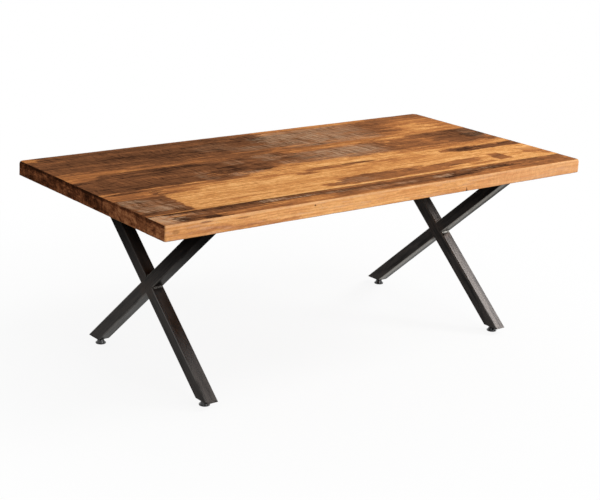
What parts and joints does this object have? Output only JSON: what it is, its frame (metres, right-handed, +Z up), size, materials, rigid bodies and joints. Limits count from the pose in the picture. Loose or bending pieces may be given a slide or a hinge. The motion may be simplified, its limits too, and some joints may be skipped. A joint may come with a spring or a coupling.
{
  "type": "sawbuck table",
  "caption": "Low sawbuck table: a thick top of old reclaimed boards on welded X-frames of square steel tube, with levelling feet that screw in and out.",
  "frame": {"origin": "on the floor, under the middle of the top", "axes": "+X along the top to the right, +Y to the back, +Z up; the picture looks from the front left"},
  "size_m": [1.2, 0.588, 0.438],
  "materials": {
    "old_wood": "old brown patina and sawn honey wood, oiled, satin",
    "dowel_wood": "plain beech",
    "blackened_steel": "blackened steel under clear lacquer, semi-gloss",
    "weld_steel": "weld bead under clear lacquer",
    "zinc_steel": "bright zinc plate",
    "foot_plastic": "black moulded plastic"
  },
  "bodies": {
    "table": {"top_board_back": "old_wood", "top_board_centre_back": "old_wood", "top_board_centre_front": "old_wood", "top_board_front": "old_wood", "seam_dowels_back": "dowel_wood", "seam_dowels_centre_back": "dowel_wood", "seam_dowels_centre_front": "dowel_wood", "left_through_tube": "blackened_steel", "left_upper_half_tube": "blackened_steel", "left_lower_half_tube": "blackened_steel", "left_mounting_plate": "blackened_steel", "left_crossing_welds": "weld_steel", "left_flush_welds": "weld_steel", "left_plate_welds": "weld_steel", "left_plate_screws": "zinc_steel", "left_plate_washers": "zinc_steel", "left_threaded_inserts": "zinc_steel", "right_through_tube": "blackened_steel", "right_upper_half_tube": "blackened_steel", "right_lower_half_tube": "blackened_steel", "right_mounting_plate": "blackened_steel", "right_crossing_welds": "weld_steel", "right_flush_welds": "weld_steel", "right_plate_welds": "weld_steel", "right_plate_screws": "zinc_steel", "right_plate_washers": "zinc_steel", "right_threaded_inserts": "zinc_steel", "left_front_leg_cap": "blackened_steel", "left_front_weld_nut": "zinc_steel", "left_back_leg_cap": "blackened_steel", "left_back_weld_nut": "zinc_steel", "right_front_leg_cap": "blackened_steel", "right_front_weld_nut": "zinc_steel", "right_back_leg_cap": "blackened_steel", "right_back_weld_nut": "zinc_steel"},
    "left_front_stud": {"left_front_foot_stud": "zinc_steel"},
    "left_front_base": {"left_front_foot_base": "foot_plastic"},
    "left_back_stud": {"left_back_foot_stud": "zinc_steel"},
    "left_back_base": {"left_back_foot_base": "foot_plastic"},
    "right_front_stud": {"right_front_foot_stud": "zinc_steel"},
    "right_front_base": {"right_front_foot_base": "foot_plastic"},
    "right_back_stud": {"right_back_foot_stud": "zinc_steel"},
    "right_back_base": {"right_back_foot_base": "foot_plastic"}
  },
  "joints": [
    {"name": "left_front_foot_lift", "type": "slide", "parent": "table", "child": "left_front_stud", "axis": [0, 0, -1], "range_m": [0, 0.00875]},
    {"name": "left_front_foot_turn", "type": "hinge", "parent": "left_front_stud", "child": "left_front_base", "pos_m": [-0.435, -0.2115, 0], "axis": [0, 0, -1], "range_deg": [0, 2521]},
    {"name": "left_back_foot_lift", "type": "slide", "parent": "table", "child": "left_back_stud", "axis": [0, 0, -1], "range_m": [0, 0.00875]},
    {"name": "left_back_foot_turn", "type": "hinge", "parent": "left_back_stud", "child": "left_back_base", "pos_m": [-0.435, 0.2115, 0], "axis": [0, 0, -1], "range_deg": [0, 2521]},
    {"name": "right_front_foot_lift", "type": "slide", "parent": "table", "child": "right_front_stud", "axis": [0, 0, -1], "range_m": [0, 0.00875]},
    {"name": "right_front_foot_turn", "type": "hinge", "parent": "right_front_stud", "child": "right_front_base", "pos_m": [0.435, -0.2115, 0], "axis": [0, 0, -1], "range_deg": [0, 2521]},
    {"name": "right_back_foot_lift", "type": "slide", "parent": "table", "child": "right_back_stud", "axis": [0, 0, -1], "range_m": [0, 0.00875]},
    {"name": "right_back_foot_turn", "type": "hinge", "parent": "right_back_stud", "child": "right_back_base", "pos_m": [0.435, 0.2115, 0], "axis": [0, 0, -1], "range_deg": [0, 2521]}
  ],
  "couplings": [
    {"joint": "left_front_foot_turn", "follows": "left_front_foot_lift", "rad_per_m": 5026.5},
    {"joint": "left_back_foot_turn", "follows": "left_back_foot_lift", "rad_per_m": 5026.5},
    {"joint": "right_front_foot_turn", "follows": "right_front_foot_lift", "rad_per_m": 5026.5},
    {"joint": "right_back_foot_turn", "follows": "right_back_foot_lift", "rad_per_m": 5026.5}
  ]
}
